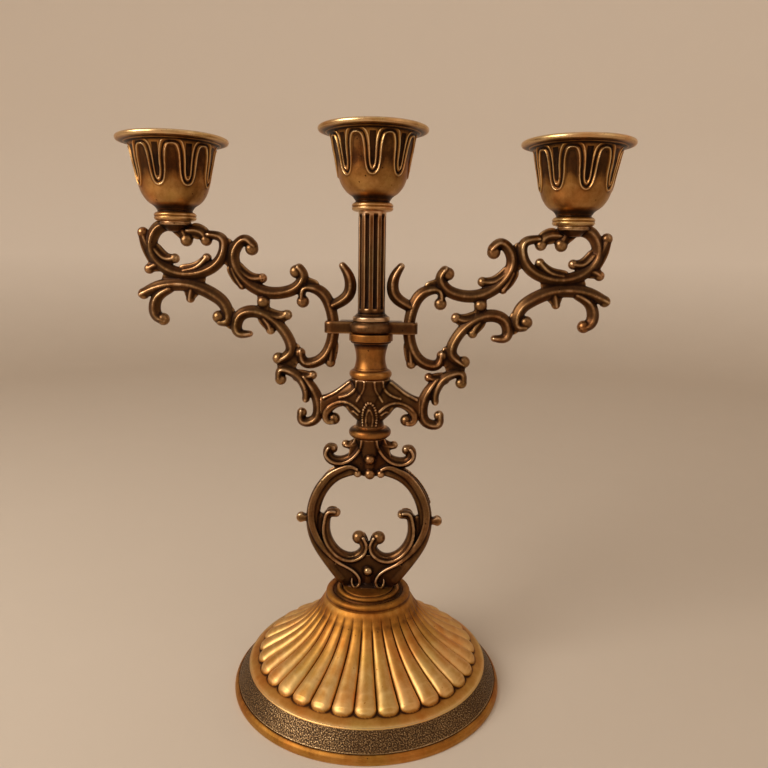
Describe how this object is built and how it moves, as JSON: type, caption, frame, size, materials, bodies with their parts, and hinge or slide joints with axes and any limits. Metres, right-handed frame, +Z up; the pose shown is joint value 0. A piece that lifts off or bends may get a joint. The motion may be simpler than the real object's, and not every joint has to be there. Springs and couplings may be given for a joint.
{
  "type": "candelabrum",
  "caption": "Antiqued brass table candelabrum with scrolled arms, meander-patterned cups, a ring stem and a gadrooned round base.",
  "frame": {"origin": "centre of the round base, on the face it stands on", "axes": "+Z up along the middle axis; +X towards the right arm as seen from the front; +Y towards the back"},
  "size_m": [0.2146, 0.1238, 0.25],
  "materials": {
    "antiqued_brass_gold": "antiqued satin, golden on the raised parts",
    "antiqued_brass_dark": "dark brown patina with polished ridges",
    "brass_warm": "orange brass, pitted satin",
    "fastener_steel": "plain fastener"
  },
  "bodies": {
    "stand": {"base": "antiqued_brass_gold", "base_washer": "fastener_steel", "base_nut": "fastener_steel", "foot_stud": "fastener_steel", "ring_stem": "antiqued_brass_dark", "tie_rod": "fastener_steel", "saucer_washer": "brass_warm", "centre_cup_nut": "fastener_steel"},
    "arms": {"hub": "antiqued_brass_dark", "left_arm": "antiqued_brass_dark", "right_arm": "antiqued_brass_dark", "waist_spool": "brass_warm", "yoke": "brass_warm", "column": "antiqued_brass_dark", "left_cup_screw": "brass_warm", "right_cup_screw": "brass_warm"},
    "centre_cup": {"centre_cup": "antiqued_brass_gold"},
    "left_cup": {"left_cup": "antiqued_brass_gold"},
    "right_cup": {"right_cup": "antiqued_brass_gold"}
  },
  "joints": [
    {"name": "arms_swivel", "type": "hinge", "parent": "stand", "child": "arms", "pos_m": [0, 0, 0.133], "axis": [0, 0, 1], "continuous": true},
    {"name": "centre_cup_turn", "type": "hinge", "parent": "stand", "child": "centre_cup", "pos_m": [0, 0, 0.219], "axis": [0, 0, 1], "continuous": true},
    {"name": "left_cup_turn", "type": "hinge", "parent": "arms", "child": "left_cup", "pos_m": [-0.0847, 0, 0.213], "axis": [0, 0, 1], "continuous": true},
    {"name": "right_cup_turn", "type": "hinge", "parent": "arms", "child": "right_cup", "pos_m": [0.0847, 0, 0.213], "axis": [0, 0, 1], "continuous": true}
  ]
}
